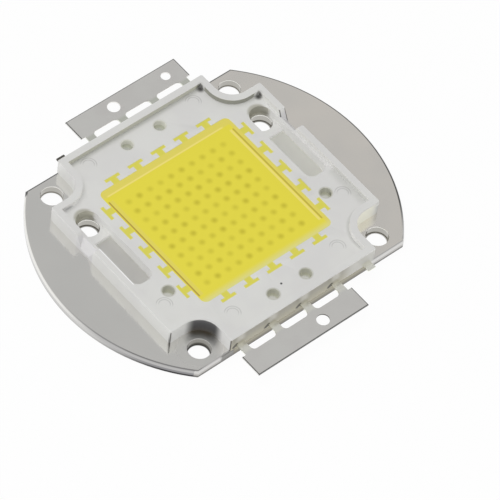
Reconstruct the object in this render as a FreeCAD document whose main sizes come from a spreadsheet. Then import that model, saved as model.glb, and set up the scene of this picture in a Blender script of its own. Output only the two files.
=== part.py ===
import FreeCAD, Part
import os
import Sketcher

# Round chip-on-board light source: a stamped plate, a moulded frame, two lead frames, a casting and its chips.
# The frame's origin is the centre of the plate's underside, +Z up, +Y towards the positive lead.

doc = FreeCAD.newDocument("cob_led")
sheet = doc.addObject("Spreadsheet::Sheet", "Sizes")

SIZES = [
    ("plate_diameter", 56.0, "plate, across the round part"),
    ("plate_thick", 1.5, "plate thickness"),
    ("plate_roll", 0.25, "upper edge rolled over by the stamping"),
    ("screw_bore", 3.5, "corner screw hole diameter"),
    ("inner_bore", 3.5, "inner hole diameter"),
    ("frame_rise", 2.8, "moulding, height over the plate"),
    ("rim_width", 1.1, "raised rim"),
    ("rim_rise", 1.0, "raised rim over the moulding's floor"),
    ("window_corner", 1.0, "window corner radius"),
    ("anchor_depth", 0.7, "T slot depth under the floor"),
    ("slot_corner", 1.3, "side slots, corner radius at the near end"),
    ("recess_web", 0.5, "web left under the recess"),
    ("recess_corner", 1.7, "recess, corner radius at the far end"),
    ("gap_sill", 0.4, "sill under the wire opening at the outer face, over the plate"),
    ("pin_bore", 1.8, "holes left by the mould's support pins"),
    ("lead_thick", 0.3, "lead frame sheet"),
    ("lead_lift", 0.55, "lead frame over the plate"),
    ("leg_width", 1.4, "lead leg"),
    ("leg_root", 0.7, "radius between a leg and the tab"),
    ("tab_hole", 2.0, "main lead hole"),
    ("tab_extra", 1.5, "second hole of the positive lead"),
    ("gel_drop", 0.05, "casting's surface below the moulding's floor"),
    ("die_side", 1.14, "chip, square"),
    ("die_thick", 0.15, "chip thickness"),
    ("pad_inset", 0.2, "bond from the chip's edge"),
    ("wire_thick", 0.04, "bond wire"),
    ("wire_stitch", 0.3, "bond wire's flattened end on a bar"),
]
# Plan sizes, written for a plate of DRAWN_DIAMETER; they follow the plate's real diameter.
DRAWN_DIAMETER = 56.0
PLAN_SIZES = [
    ("plate_flats", 40.0, "plate, across the two flats"),
    ("screw_pitch", 34.0, "corner screw holes, centre to centre both ways"),
    ("inner_hole_x", 16.55, "inner holes, from the middle"),
    ("inner_hole_y", 9.1, "inner holes, from the middle"),
    ("frame_width", 39.8, "moulding, overall along X"),
    ("notch_reach", 13.75, "corner notches start this far from the middle"),
    ("notch_radius", 3.2, "inner corner of a notch"),
    ("window_size", 24.6, "square window"),
    ("anchor_pitch", 4.35, "T slot spacing"),
    ("anchor_neck", 1.2, "T slot stem width"),
    ("anchor_neck_long", 0.8, "T slot stem length"),
    ("anchor_head", 2.7, "T slot head width"),
    ("anchor_head_long", 0.6, "T slot head length"),
    ("slot_inside", 14.75, "side slots, inner wall from the middle"),
    ("slot_width", 3.6, "side slots"),
    ("slot_near", 4.1, "side slots, near end on the -Y side"),
    ("slot_far", 6.1, "side slots, far end on the +Y side"),
    ("recess_far", 11.1, "recess round an inner hole, far end"),
    ("gap_near", 3.8, "wire opening in the side rims, near end at the rim's top"),
    ("gap_far", 7.9, "wire opening in the side rims, far end at the rim's top"),
    ("gap_lean", 1.1, "slant of the wire opening's ends, at the outer face"),
    ("pin_strip_x", 3.1, "support pins over the lead strips, from the middle"),
    ("pin_bar_x", 15.0, "support pins over the bonding bars, from the middle"),
    ("pin_bar_y", 7.35, "support pins over the bonding bars, towards -Y"),
    ("lead_reach", 26.0, "lead tab's outer edge from the middle"),
    ("tab_depth", 3.8, "lead tab, along Y"),
    ("tab_overhang", 0.7, "lead tab past its outer legs"),
    ("leg_pitch", 6.0, "lead legs, centre to centre"),
    ("leg_outermost", 12.0, "outermost leg, and the trimmed leg opposite, from the middle"),
    ("stub_long", 1.5, "trimmed leg, past the moulding"),
    ("strip_outer", 18.2, "lead strip inside the moulding, outer edge"),
    ("strip_inner", 15.4, "lead strip inside the moulding, inner edge"),
    ("bar_inside", 11.7, "bonding bar's edge in the window, from the middle"),
    ("bar_outside", 13.6, "bonding bar's outer edge, from the middle"),
    ("bar_half", 10.3, "bonding bar, half its length"),
    ("link_outside", 13.3, "link from strip to bar, outer edge from the middle"),
    ("link_inside", 12.6, "link from strip to bar, inner edge from the middle"),
    ("ear_reach", 16.1, "bonding bar's ear under the support pin"),
    ("ear_width", 2.4, "bonding bar's ear, along Y"),
    ("tab_hole_x", 0.3, "main lead hole, from the middle"),
    ("tab_extra_x", 10.3, "second hole of the positive lead, from the middle"),
    ("die_pitch", 2.0, "chips, centre to centre both ways"),
]
ANCHORS_PER_SIDE = 5
LEGS_PER_TAB = 4
DIE_ROWS = 10
DIE_COLUMNS = 10

entries = [(alias, str(value), note) for alias, value, note in SIZES]
for alias, value, note in PLAN_SIZES:
    entries.append((alias, f"={value} * plate_diameter / {DRAWN_DIAMETER}", note))
for row, (alias, content, note) in enumerate(entries, start=1):
    sheet.set(f"A{row}", alias)
    sheet.set(f"B{row}", content)
    sheet.setAlias(f"B{row}", alias)
    sheet.set(f"C{row}", note)
doc.recompute()

# Levels and edges that several pieces share, as formulas over the sheet.
PLATE_TOP = "Sizes.plate_thick"
RIM_TOP = "(Sizes.plate_thick + Sizes.frame_rise)"
FLOOR = "(Sizes.plate_thick + Sizes.frame_rise - Sizes.rim_rise)"
LEAD_UNDER = "(Sizes.plate_thick + Sizes.lead_lift)"
LEAD_TOP = "(Sizes.plate_thick + Sizes.lead_lift + Sizes.lead_thick)"
GEL_TOP = "(Sizes.plate_thick + Sizes.frame_rise - Sizes.rim_rise - Sizes.gel_drop)"
ANCHOR_FLOOR = "(Sizes.plate_thick + Sizes.frame_rise - Sizes.rim_rise - Sizes.anchor_depth)"
RECESS_FLOOR = "(Sizes.plate_thick + Sizes.recess_web)"
DIE_TOP = "(Sizes.plate_thick + Sizes.die_thick)"
FRAME_X = "(Sizes.frame_width / 2)"
FRAME_Y = "(Sizes.plate_flats / 2)"
RIM_X = "(Sizes.frame_width / 2 - Sizes.rim_width)"
RIM_Y = "(Sizes.plate_flats / 2 - Sizes.rim_width)"
NOTCH = "Sizes.notch_reach"
RIM_NOTCH = "(Sizes.notch_reach - Sizes.rim_width)"
WINDOW = "(Sizes.window_size / 2)"
SLOT_IN = "Sizes.slot_inside"
SLOT_OUT = "(Sizes.slot_inside + Sizes.slot_width)"
SILL_TOP = "(Sizes.plate_thick + Sizes.gap_sill)"
OVERCUT = "1"


def settle():
    """Brings the document up to date and leaves nothing marked for the next time."""
    doc.recompute()
    for item in doc.Objects:
        item.purgeTouched()


def measure(formula):
    """The present value of a formula over the sheet, in millimetres."""
    return float(sheet.evalExpression(formula))


def negative(formula):
    return f"-({formula})"


def vector(x, y, z=0.0):
    return FreeCAD.Vector(x, y, z)


def new_body(label):
    body = doc.addObject("PartDesign::Body", label)
    body.Label = label
    return body


def origin_feature(body, role):
    return [item for item in body.Origin.OriginFeatures if item.Role == role][0]


def new_sketch(body, name, height="0"):
    """A sketch on the body's own XY plane, lifted to a height given as a formula."""
    sketch = body.newObject("Sketcher::SketchObject", name)
    sketch.AttachmentSupport = [(origin_feature(body, "XY_Plane"), "")]
    sketch.MapMode = "FlatFace"
    sketch.setExpression("AttachmentOffset.Base.z", height)
    return sketch


def cross_sketch(body, name, distance):
    """A sketch across the X axis, drawing Y and Z, at a distance given as a formula."""
    sketch = body.newObject("Sketcher::SketchObject", name)
    sketch.AttachmentSupport = [(origin_feature(body, "YZ_Plane"), "")]
    sketch.MapMode = "FlatFace"
    sketch.setExpression("AttachmentOffset.Base.z", distance)
    return sketch


def bind(sketch, kind, formula, *places):
    """A dimension of the sketch, tied to a formula over the sheet."""
    index = sketch.addConstraint(Sketcher.Constraint(kind, *places, measure(formula)))
    sketch.setExpression(f"Constraints[{index}]", formula)


def add_polygon(sketch, corners):
    """A closed outline through corners given as pairs of formulas, each tied to the origin."""
    points = [vector(measure(x), measure(y)) for x, y in corners]
    first = sketch.GeometryCount
    for start, end in zip(points, points[1:] + points[:1]):
        sketch.addGeometry(Part.LineSegment(start, end), False)
    count = len(points)
    for step in range(count):
        following = first + (step + 1) % count
        sketch.addConstraint(Sketcher.Constraint("Coincident", first + step, 2, following, 1))
    for step, (x, y) in enumerate(corners):
        bind(sketch, "DistanceX", x, -1, 1, first + step, 1)
        bind(sketch, "DistanceY", y, -1, 1, first + step, 1)


def add_box(sketch, left, right, low, high):
    add_polygon(sketch, [(left, low), (right, low), (right, high), (left, high)])


def add_circle(sketch, x, y, diameter):
    centre = vector(measure(x), measure(y))
    radius = f"{diameter} / 2"
    index = sketch.addGeometry(Part.Circle(centre, vector(0, 0, 1), measure(radius)), False)
    bind(sketch, "DistanceX", x, -1, 1, index, 3)
    bind(sketch, "DistanceY", y, -1, 1, index, 3)
    bind(sketch, "Radius", radius, index)


def pad(body, sketch, length):
    feature = body.newObject("PartDesign::Pad", f"{sketch.Name}_pad")
    feature.Profile = sketch
    feature.setExpression("Length", length)
    settle()
    return feature


def pocket(body, sketch, depth):
    """A cut straight down from the sketch."""
    before = body.Shape.Volume
    feature = body.newObject("PartDesign::Pocket", f"{sketch.Name}_cut")
    feature.Profile = sketch
    feature.setExpression("Length", depth)
    settle()
    if body.Shape.Volume >= before:
        raise RuntimeError(f"{feature.Name} cut nothing")
    return feature


def loft_cut(body, first, last):
    """A cut whose outline changes evenly from one sketch to the other."""
    before = body.Shape.Volume
    feature = body.newObject("PartDesign::SubtractiveLoft", f"{first.Name}_cut")
    feature.Profile = first
    feature.Sections = [last]
    feature.Ruled = True
    settle()
    if body.Shape.Volume >= before:
        raise RuntimeError(f"{feature.Name} cut nothing")
    return feature


def mirror_across_x(body, feature):
    """The feature's twin on the other side of the YZ plane."""
    twin = body.newObject("PartDesign::Mirrored", f"{feature.Name}_twin")
    twin.Originals = [feature]
    twin.MirrorPlane = (origin_feature(body, "YZ_Plane"), [""])
    body.Tip = twin
    settle()
    return twin


def quarter_turns(body, feature):
    """Four copies of the feature round the Z axis."""
    ring = body.newObject("PartDesign::PolarPattern", f"{feature.Name}_ring")
    ring.Originals = [feature]
    ring.Axis = (origin_feature(body, "Z_Axis"), [""])
    ring.Angle = 360
    ring.Occurrences = 4
    body.Tip = ring
    settle()
    return ring


def upright_edges(shape, corners, low, high):
    """Names of the upright edges that stand on the given corners between two heights."""
    names = []
    for number, edge in enumerate(shape.Edges, start=1):
        box = edge.BoundBox
        if box.XLength > 1e-4 or box.YLength > 1e-4:
            continue
        if box.ZMin < low - 1e-4 or box.ZMax > high + 1e-4:
            continue
        if any(abs(box.XMin - x) < 1e-3 and abs(box.YMin - y) < 1e-3 for x, y in corners):
            names.append(f"Edge{number}")
    return names


def level_edges(shape, height, keep):
    """Names of the edges that lie at one height and whose middle passes the test."""
    names = []
    for number, edge in enumerate(shape.Edges, start=1):
        box = edge.BoundBox
        if abs(box.ZMin - height) > 1e-4 or abs(box.ZMax - height) > 1e-4:
            continue
        middle = edge.valueAt((edge.FirstParameter + edge.LastParameter) / 2)
        if keep(middle):
            names.append(f"Edge{number}")
    return names


def fillet(body, name, edges, radius):
    base = body.Tip
    feature = body.newObject("PartDesign::Fillet", name)
    feature.Base = (base, edges)
    feature.setExpression("Radius", radius)
    body.Tip = feature
    settle()
    return feature


def chamfer(body, name, edges, width):
    base = body.Tip
    feature = body.newObject("PartDesign::Chamfer", name)
    feature.Base = (base, edges)
    feature.setExpression("Size", width)
    body.Tip = feature
    settle()
    return feature


def four_corners(x, y):
    return [(a, b) for a in (-x, x) for b in (-y, y)]


def notched_outline(x, y, notch):
    """The formulas of a rectangle whose four corners are cut away in squares."""
    corners = []
    for sign_x, sign_y in ((1, -1), (1, 1), (-1, 1), (-1, -1)):
        far_x = x if sign_x > 0 else negative(x)
        far_y = y if sign_y > 0 else negative(y)
        near_x = notch if sign_x > 0 else negative(notch)
        near_y = notch if sign_y > 0 else negative(notch)
        walk = [(near_x, far_y), (near_x, near_y), (far_x, near_y)]
        corners += walk if sign_x * sign_y < 0 else walk[::-1]
    return corners


# Base plate
def make_plate():
    body = new_body("base_plate")
    disc = new_sketch(body, "plate_disc")
    add_circle(disc, "0", "0", "Sizes.plate_diameter")
    pad(body, disc, PLATE_TOP)

    flats = new_sketch(body, "plate_flats_cut", PLATE_TOP)
    side = f"(Sizes.plate_diameter / 2 + {OVERCUT})"
    add_box(flats, negative(side), side, FRAME_Y, side)
    add_box(flats, negative(side), side, negative(side), negative(FRAME_Y))
    pocket(body, flats, PLATE_TOP)

    screws = new_sketch(body, "plate_screws", PLATE_TOP)
    add_circle(screws, "Sizes.screw_pitch / 2", "Sizes.screw_pitch / 2", "Sizes.screw_bore")
    quarter_turns(body, pocket(body, screws, PLATE_TOP))

    inner = new_sketch(body, "plate_inner", PLATE_TOP)
    add_circle(inner, "Sizes.inner_hole_x", "Sizes.inner_hole_y", "Sizes.inner_bore")
    mirror_across_x(body, pocket(body, inner, PLATE_TOP))

    edge_line = measure(FRAME_Y) - 1e-3
    rim_edges = level_edges(
        body.Shape,
        measure(PLATE_TOP),
        lambda p: abs(p.y) > edge_line or p.x**2 + p.y**2 > (measure("Sizes.plate_diameter / 2") - 1e-3) ** 2,
    )
    chamfer(body, "plate_roll_over", rim_edges, "Sizes.plate_roll")
    return body


# Anchoring T slots: one side of the window, as open outlines that overlap the window by a little
def add_anchor_row(sketch):
    window_side = f"({WINDOW} - 0.2)"
    neck_end = f"({WINDOW} + Sizes.anchor_neck_long)"
    head_end = f"({WINDOW} + Sizes.anchor_neck_long + Sizes.anchor_head_long)"
    for number in range(ANCHORS_PER_SIDE):
        middle = f"({number - (ANCHORS_PER_SIDE - 1) / 2} * Sizes.anchor_pitch)"
        neck_left = f"({middle} - Sizes.anchor_neck / 2)"
        neck_right = f"({middle} + Sizes.anchor_neck / 2)"
        head_left = f"({middle} - Sizes.anchor_head / 2)"
        head_right = f"({middle} + Sizes.anchor_head / 2)"
        add_polygon(
            sketch,
            [
                (neck_left, window_side),
                (neck_right, window_side),
                (neck_right, neck_end),
                (head_right, neck_end),
                (head_right, head_end),
                (head_left, head_end),
                (head_left, neck_end),
                (neck_left, neck_end),
            ],
        )


def add_gap_profile(sketch, lean, low):
    """The wire opening seen along X: wide at the rim's top, with slanting ends down to a level."""
    add_polygon(
        sketch,
        [
            ("Sizes.gap_near", RIM_TOP),
            (f"(Sizes.gap_near + {lean})", low),
            (f"(Sizes.gap_far - {lean})", low),
            ("Sizes.gap_far", RIM_TOP),
        ],
    )


# Moulded frame
def make_moulding():
    body = new_body("moulding")
    outline = new_sketch(body, "frame_outline", PLATE_TOP)
    add_polygon(outline, notched_outline(FRAME_X, FRAME_Y, NOTCH))
    pad(body, outline, "Sizes.frame_rise")
    low = measure(PLATE_TOP)
    floor = measure(FLOOR)
    top = measure(RIM_TOP)
    notch = measure(NOTCH)
    edges = upright_edges(body.Shape, four_corners(notch, notch), low, top)
    fillet(body, "frame_notches", edges, "Sizes.notch_radius")

    well = new_sketch(body, "frame_well", RIM_TOP)
    add_polygon(well, notched_outline(RIM_X, RIM_Y, RIM_NOTCH))
    pocket(body, well, "Sizes.rim_rise")
    rim_notch = measure(RIM_NOTCH)
    edges = upright_edges(body.Shape, four_corners(rim_notch, rim_notch), floor, top)
    fillet(body, "rim_notches", edges, "Sizes.notch_radius + Sizes.rim_width")

    window = new_sketch(body, "frame_window", FLOOR)
    add_box(window, negative(WINDOW), WINDOW, negative(WINDOW), WINDOW)
    pocket(body, window, "Sizes.frame_rise")
    half = measure(WINDOW)
    edges = upright_edges(body.Shape, four_corners(half, half), low, floor)
    fillet(body, "window_corners", edges, "Sizes.window_corner")
    anchors = new_sketch(body, "frame_anchors", FLOOR)
    add_anchor_row(anchors)
    quarter_turns(body, pocket(body, anchors, "Sizes.anchor_depth"))

    recess = new_sketch(body, "frame_recess", RIM_TOP)
    add_box(recess, SLOT_IN, SLOT_OUT, "Sizes.slot_far", "Sizes.recess_far")
    mirror_across_x(body, pocket(body, recess, f"{RIM_TOP} - {RECESS_FLOOR}"))
    inside, outside = measure(SLOT_IN), measure(SLOT_OUT)
    far_end = measure("Sizes.recess_far")
    far_corners = [(x, far_end) for x in (-outside, -inside, inside, outside)]
    edges = upright_edges(body.Shape, far_corners, measure(RECESS_FLOOR), floor)
    fillet(body, "recess_corners", edges, "Sizes.recess_corner")

    slot = new_sketch(body, "frame_slot", RIM_TOP)
    add_box(slot, SLOT_IN, SLOT_OUT, negative("Sizes.slot_near"), "Sizes.slot_far")
    mirror_across_x(body, pocket(body, slot, "Sizes.frame_rise"))
    near_end = -measure("Sizes.slot_near")
    near_corners = [(x, near_end) for x in (-outside, -inside, inside, outside)]
    edges = upright_edges(body.Shape, near_corners, low, floor)
    fillet(body, "slot_corners", edges, "Sizes.slot_corner")

    web = new_sketch(body, "frame_web_hole", RIM_TOP)
    add_circle(web, "Sizes.inner_hole_x", "Sizes.inner_hole_y", "Sizes.inner_bore")
    mirror_across_x(body, pocket(body, web, "Sizes.frame_rise"))

    gap_inside = cross_sketch(body, "frame_gap_inside", RIM_X)
    lean = f"(Sizes.gap_lean * Sizes.rim_rise / ({RIM_TOP} - {SILL_TOP}))"
    add_gap_profile(gap_inside, lean, FLOOR)
    gap_outside = cross_sketch(body, "frame_gap_outside", FRAME_X)
    add_gap_profile(gap_outside, "Sizes.gap_lean", SILL_TOP)
    mirror_across_x(body, loft_cut(body, gap_inside, gap_outside))

    pins = new_sketch(body, "frame_pins", FLOOR)
    strip_y = "((Sizes.strip_outer + Sizes.strip_inner) / 2)"
    for x in ("Sizes.pin_strip_x", negative("Sizes.pin_strip_x")):
        for y in (strip_y, negative(strip_y)):
            add_circle(pins, x, y, "Sizes.pin_bore")
    for x in ("Sizes.pin_bar_x", negative("Sizes.pin_bar_x")):
        add_circle(pins, x, negative("Sizes.pin_bar_y"), "Sizes.pin_bore")
    pocket(body, pins, f"{FLOOR} - {LEAD_TOP}")
    return body


# Lead frames: a tab on legs, a strip inside the moulding, a link and the bonding bar
def make_lead(label, ear_sign, holes):
    """The lead on the -Y side; the other one is the same, turned, with its ear at the other end."""
    body = new_body(label)
    legs_left = "(-Sizes.leg_outermost - Sizes.leg_width / 2)"
    last_leg = f"(-Sizes.leg_outermost + {LEGS_PER_TAB - 1} * Sizes.leg_pitch)"
    legs_right = f"({last_leg} + Sizes.leg_width / 2)"
    tab_left = f"({legs_left} - Sizes.tab_overhang)"
    tab_right = f"({legs_right} + Sizes.tab_overhang)"
    tab_low = "-Sizes.lead_reach"
    tab_high = "(-Sizes.lead_reach + Sizes.tab_depth)"
    strip_low = "-Sizes.strip_outer"
    strip_high = "-Sizes.strip_inner"
    stub_left = "(Sizes.leg_outermost - Sizes.leg_width / 2)"
    stub_right = "(Sizes.leg_outermost + Sizes.leg_width / 2)"
    stub_low = f"(-{FRAME_Y} - Sizes.stub_long)"
    ear_outer = f"({ear_sign}(Sizes.pin_bar_y + Sizes.ear_width / 2))"
    ear_inner = f"({ear_sign}(Sizes.pin_bar_y - Sizes.ear_width / 2))"
    ear_low, ear_high = (ear_outer, ear_inner) if ear_sign == "-" else (ear_inner, ear_outer)

    outline = new_sketch(body, f"{label}_outline", LEAD_UNDER)
    add_polygon(
        outline,
        [
            (tab_left, tab_low),
            (tab_right, tab_low),
            (tab_right, tab_high),
            (legs_right, tab_high),
            (legs_right, strip_low),
            (stub_left, strip_low),
            (stub_left, stub_low),
            (stub_right, stub_low),
            (stub_right, strip_high),
            ("-Sizes.link_inside", strip_high),
            ("-Sizes.link_inside", "-Sizes.bar_half"),
            ("-Sizes.bar_inside", "-Sizes.bar_half"),
            ("-Sizes.bar_inside", "Sizes.bar_half"),
            ("-Sizes.bar_outside", "Sizes.bar_half"),
            ("-Sizes.bar_outside", ear_high),
            ("-Sizes.ear_reach", ear_high),
            ("-Sizes.ear_reach", ear_low),
            ("-Sizes.bar_outside", ear_low),
            ("-Sizes.bar_outside", "-Sizes.bar_half"),
            ("-Sizes.link_outside", "-Sizes.bar_half"),
            ("-Sizes.link_outside", strip_low),
            (legs_left, strip_low),
            (legs_left, tab_high),
            (tab_left, tab_high),
        ],
    )
    pad(body, outline, "Sizes.lead_thick")

    opening = new_sketch(body, f"{label}_opening", LEAD_TOP)
    opening_left = "(-Sizes.leg_outermost + Sizes.leg_width / 2)"
    opening_right = "(-Sizes.leg_outermost + Sizes.leg_pitch - Sizes.leg_width / 2)"
    add_box(opening, opening_left, opening_right, strip_low, tab_high)
    first_opening = pocket(body, opening, "Sizes.lead_thick")
    openings = body.newObject("PartDesign::LinearPattern", f"{label}_openings")
    openings.Originals = [first_opening]
    openings.Direction = (origin_feature(body, "X_Axis"), [""])
    openings.setExpression("Length", f"{LEGS_PER_TAB - 2} * Sizes.leg_pitch")
    openings.Occurrences = LEGS_PER_TAB - 1
    body.Tip = openings
    settle()

    low, high = measure(LEAD_UNDER), measure(LEAD_TOP)
    root_y = measure(tab_high)
    roots = []
    for number in range(LEGS_PER_TAB - 1):
        shift = number * measure("Sizes.leg_pitch")
        roots += [(measure(opening_left) + shift, root_y), (measure(opening_right) + shift, root_y)]
    fillet(body, f"{label}_roots", upright_edges(body.Shape, roots, low, high), "Sizes.leg_root")

    drilled = new_sketch(body, f"{label}_holes", LEAD_TOP)
    hole_y = "(-Sizes.lead_reach + Sizes.tab_depth / 2)"
    for hole_x, diameter in holes:
        add_circle(drilled, hole_x, hole_y, diameter)
    pocket(body, drilled, "Sizes.lead_thick")
    return body


# Casting: the window and the T slots, filled
def make_casting():
    body = new_body("casting")
    middle = new_sketch(body, "casting_window", PLATE_TOP)
    add_box(middle, negative(WINDOW), WINDOW, negative(WINDOW), WINDOW)
    pad(body, middle, f"{GEL_TOP} - {PLATE_TOP}")
    half = measure(WINDOW)
    edges = upright_edges(body.Shape, four_corners(half, half), measure(PLATE_TOP), measure(GEL_TOP))
    fillet(body, "casting_corners", edges, "Sizes.window_corner")
    anchors = new_sketch(body, "casting_anchors", ANCHOR_FLOOR)
    add_anchor_row(anchors)
    quarter_turns(body, pad(body, anchors, f"{GEL_TOP} - {ANCHOR_FLOOR}"))
    return body


def spread(body, feature, count):
    """Copies of the feature along X, one chip pitch apart."""
    line = body.newObject("PartDesign::LinearPattern", f"{feature.Name}_line")
    line.Originals = [feature]
    line.Direction = (origin_feature(body, "X_Axis"), [""])
    line.setExpression("Length", f"{count - 1} * Sizes.die_pitch")
    line.Occurrences = count
    body.Tip = line
    settle()


def die_middle(number, count):
    """Where a chip stands along a row, or a row along the plate."""
    return f"({number - (count - 1) / 2} * Sizes.die_pitch)"


def make_die_row(number):
    body = new_body(f"die_row_{number + 1:02d}")
    footprint = new_sketch(body, f"die_{number + 1:02d}", PLATE_TOP)
    middle = die_middle(0, DIE_COLUMNS)
    half = "Sizes.die_side / 2"
    add_box(footprint, f"{middle} - {half}", f"{middle} + {half}", f"-{half}", half)
    spread(body, pad(body, footprint, "Sizes.die_thick"), DIE_COLUMNS)
    body.setExpression("Placement.Base.y", die_middle(number, DIE_ROWS))
    return body


def add_short_wire(sketch, start, end, height):
    """The side view of a low bond wire between two chips."""
    add_box(sketch, start, end, height, f"{height} + Sizes.wire_thick")


def add_bar_wire(sketch, bar_tip, bar_edge, chip_end, away):
    """The side view of a bond wire from its stitch on a bar down to a chip; away points off the chip."""
    add_polygon(
        sketch,
        [
            (bar_tip, LEAD_TOP),
            (bar_edge, LEAD_TOP),
            (f"{chip_end} {away} Sizes.wire_thick", DIE_TOP),
            (chip_end, DIE_TOP),
            (bar_edge, f"{LEAD_TOP} + Sizes.wire_thick"),
        ],
    )


def make_wire_row(number):
    body = new_body(f"bond_wires_{number + 1:02d}")
    to_pad = "(Sizes.die_side / 2 - Sizes.pad_inset)"
    first = die_middle(0, DIE_COLUMNS)
    second = die_middle(1, DIE_COLUMNS)
    last = die_middle(DIE_COLUMNS - 1, DIE_COLUMNS)
    stitch = "(Sizes.bar_inside + Sizes.wire_stitch)"

    between = side_sketch(body, f"wire_{number + 1:02d}")
    add_short_wire(between, f"{first} + {to_pad}", f"{second} - {to_pad}", DIE_TOP)
    spread(body, even_pad(body, between), DIE_COLUMNS - 1)
    ends = side_sketch(body, f"wire_ends_{number + 1:02d}")
    add_bar_wire(ends, f"-{stitch}", "-Sizes.bar_inside", f"({first} - {to_pad})", "-")
    add_bar_wire(ends, stitch, "Sizes.bar_inside", f"({last} + {to_pad})", "+")
    even_pad(body, ends)
    body.setExpression("Placement.Base.y", die_middle(number, DIE_ROWS))
    return body


def side_sketch(body, name):
    sketch = body.newObject("Sketcher::SketchObject", name)
    sketch.AttachmentSupport = [(origin_feature(body, "XZ_Plane"), "")]
    sketch.MapMode = "FlatFace"
    return sketch


def even_pad(body, sketch):
    """A wire's thickness, half to each side of the sketch."""
    feature = body.newObject("PartDesign::Pad", f"{sketch.Name}_pad")
    feature.Profile = sketch
    feature.Midplane = True
    feature.setExpression("Length", "Sizes.wire_thick")
    settle()
    return feature


def combine(label, shapes):
    group = doc.addObject("Part::Compound", label)
    group.Links = shapes
    settle()
    return group


def carve(label, base, tool):
    """The base without the room the tool takes."""
    result = doc.addObject("Part::Cut", label)
    result.Base = base
    result.Tool = tool
    result.Label = label
    settle()
    return result


plate = make_plate()
moulding = make_moulding()
lead_negative = make_lead("lead_negative", "-", [("Sizes.tab_hole_x", "Sizes.tab_hole")])
lead_positive = make_lead(
    "lead_positive",
    "",
    [("-Sizes.tab_hole_x", "Sizes.tab_hole"), ("-Sizes.tab_extra_x", "Sizes.tab_extra")],
)
half_turn = FreeCAD.Rotation(vector(0, 0, 1), 180)
lead_positive.Placement = FreeCAD.Placement(vector(0, 0, 0), half_turn)
die_rows = [make_die_row(number) for number in range(DIE_ROWS)]
wire_rows = [make_wire_row(number) for number in range(DIE_ROWS)]
settle()

leads = combine("both_leads", [lead_negative, lead_positive])
housing = carve("housing", moulding, leads)
covered = combine("covered_parts", [lead_negative, lead_positive, *die_rows, *wire_rows])
gel = carve("phosphor_gel", make_casting(), covered)
settle()

for item in doc.Objects:
    if "Invalid" in item.State or "Error" in item.State:
        raise RuntimeError(f"{item.Label} did not compute")

os.makedirs("parts", exist_ok=True)
for item in [plate, housing, lead_negative, lead_positive, gel, *die_rows, *wire_rows]:
    shape = item.Shape
    if shape.isNull() or not shape.isValid():
        raise RuntimeError(f"{item.Label} has no sound shape")
    shape.exportStep(f"parts/{item.Label}.step")
    box = shape.BoundBox
    print(
        f"{item.Label}: {len(shape.Solids)} solid, {shape.Volume:.3f} mm3,",
        f"x {box.XMin:.2f} to {box.XMax:.2f}, y {box.YMin:.2f} to {box.YMax:.2f},",
        f"z {box.ZMin:.2f} to {box.ZMax:.2f}",
    )
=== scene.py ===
import bpy
import bmesh
import math
from mathutils import Matrix, Vector


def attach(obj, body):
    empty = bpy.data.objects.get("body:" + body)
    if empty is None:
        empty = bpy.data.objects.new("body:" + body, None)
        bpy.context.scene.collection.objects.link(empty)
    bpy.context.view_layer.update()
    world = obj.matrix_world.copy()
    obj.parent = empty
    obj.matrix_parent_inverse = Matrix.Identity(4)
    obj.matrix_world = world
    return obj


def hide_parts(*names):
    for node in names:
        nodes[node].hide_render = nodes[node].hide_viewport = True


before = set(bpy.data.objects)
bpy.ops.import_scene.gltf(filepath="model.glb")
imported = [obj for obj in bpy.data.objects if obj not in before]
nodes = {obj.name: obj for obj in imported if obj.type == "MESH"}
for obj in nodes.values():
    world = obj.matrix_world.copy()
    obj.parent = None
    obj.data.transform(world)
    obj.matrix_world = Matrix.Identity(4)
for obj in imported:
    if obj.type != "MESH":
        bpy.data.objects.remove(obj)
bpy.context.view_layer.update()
mm = 0.001
scene = bpy.context.scene
print("frame loaded:", len(nodes), "nodes")


def fromPaint(red, green, blue):
    # a colour as a paint chart gives it, 0 to 255, in Blender's linear values
    def channel(value):
        value /= 255.0
        return value / 12.92 if value <= 0.04045 else ((value + 0.055) / 1.055) ** 2.4
    return (channel(red), channel(green), channel(blue), 1.0)


# camera at the photograph's angle: its place in millimetres, its clipping in metres
cameraSettings = {
    "place": (-271.9, -263.0, 501.7),
    "right": (0.7633, -0.6399, 0.0888),
    "up": (0.4767, 0.6506, 0.5912),
    "lens": 307.74,
    "sensor": 36.0,
    "clipping": (0.05, 20.0),
}


def makeCamera(settings):
    data = bpy.data.cameras.new("photoCamera")
    data.lens = settings["lens"]
    data.sensor_width = settings["sensor"]
    data.clip_start, data.clip_end = settings["clipping"]
    right = Vector(settings["right"]).normalized()
    up = Vector(settings["up"])
    up = (up - right * up.dot(right)).normalized()
    back = right.cross(up)
    turn = Matrix((right, up, back)).transposed().to_4x4()
    camera = bpy.data.objects.new("photoCamera", data)
    camera.matrix_world = Matrix.Translation(Vector(settings["place"]) * mm) @ turn
    scene.collection.objects.link(camera)
    scene.camera = camera


makeCamera(cameraSettings)
scene.view_settings.view_transform = "Standard"


# node helpers
def newMaterial(name):
    material = bpy.data.materials.new(name)
    material.use_nodes = True
    tree = material.node_tree
    shader = next(n for n in tree.nodes if n.type == "BSDF_PRINCIPLED")
    return material, tree, shader


def addNode(tree, kind, **values):
    node = tree.nodes.new(kind)
    for key, value in values.items():
        setattr(node, key, value)
    return node


def feed(tree, socket, value):
    # a plain value is written on the socket, another node's output is linked to it
    if isinstance(value, (int, float, tuple)):
        socket.default_value = value
    elif value is not None:
        tree.links.new(value, socket)


def mathNode(tree, operation, first, second=None, clamp=False):
    node = addNode(tree, "ShaderNodeMath", operation=operation, use_clamp=clamp)
    feed(tree, node.inputs[0], first)
    feed(tree, node.inputs[1], second)
    return node.outputs[0]


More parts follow.
